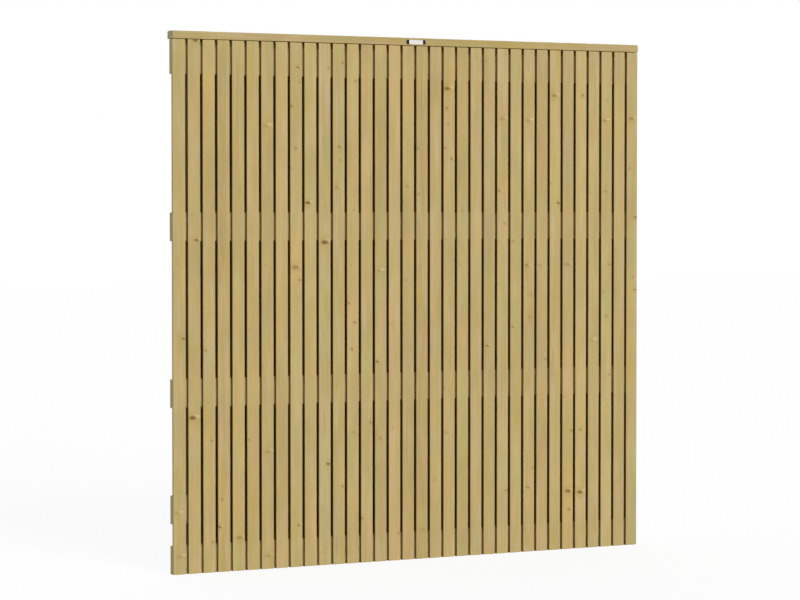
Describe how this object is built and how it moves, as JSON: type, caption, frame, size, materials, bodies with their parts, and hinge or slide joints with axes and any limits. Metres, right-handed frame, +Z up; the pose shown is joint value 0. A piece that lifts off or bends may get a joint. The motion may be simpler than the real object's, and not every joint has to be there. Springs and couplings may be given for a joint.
{
  "type": "wooden fence panel",
  "caption": "Garden fence panel: upright softwood slats staggered on both faces of horizontal rails, under a rounded cap with a small blank plate. Fixes between posts.",
  "frame": {"origin": "middle of the bottom edge, half way through the panel's thickness", "axes": "+X along the width to the viewer's right, front face towards -Y, +Z up"},
  "size_m": [1.8, 0.046, 1.8],
  "materials": {
    "slat_wood": "planed, pressure-treated softwood with a yellow-green tint",
    "rail_wood": "planed, pressure-treated softwood",
    "cap_wood": "planed, pressure-treated softwood with rounded edges",
    "plate_face": "white field between black ends, blank",
    "screw_steel": "stainless steel"
  },
  "bodies": {
    "root": {"back_slats": "slat_wood", "blank_plate": "plate_face", "bottom_rail": "rail_wood", "cap": "cap_wood", "cap_batten": "rail_wood", "cap_screws": "screw_steel", "front_slat_01": "slat_wood", "front_slat_02": "slat_wood", "front_slat_03": "slat_wood", "front_slat_04": "slat_wood", "front_slat_05": "slat_wood", "front_slat_06": "slat_wood", "front_slat_07": "slat_wood", "front_slat_08": "slat_wood", "front_slat_09": "slat_wood", "front_slat_10": "slat_wood", "front_slat_11": "slat_wood", "front_slat_12": "slat_wood", "front_slat_13": "slat_wood", "front_slat_14": "slat_wood", "front_slat_15": "slat_wood", "front_slat_16": "slat_wood", "front_slat_17": "slat_wood", "front_slat_18": "slat_wood", "front_slat_19": "slat_wood", "front_slat_20": "slat_wood", "front_slat_21": "slat_wood", "front_slat_22": "slat_wood", "front_slat_23": "slat_wood", "front_slat_24": "slat_wood", "front_slat_25": "slat_wood", "front_slat_26": "slat_wood", "front_slat_27": "slat_wood", "front_slat_28": "slat_wood", "front_slat_29": "slat_wood", "front_slat_30": "slat_wood", "front_slat_31": "slat_wood", "front_slat_32": "slat_wood", "front_slat_33": "slat_wood", "front_slat_34": "slat_wood", "left_block": "rail_wood", "lower_rail": "rail_wood", "top_rail": "rail_wood", "upper_rail": "rail_wood"}
  },
  "joints": []
}
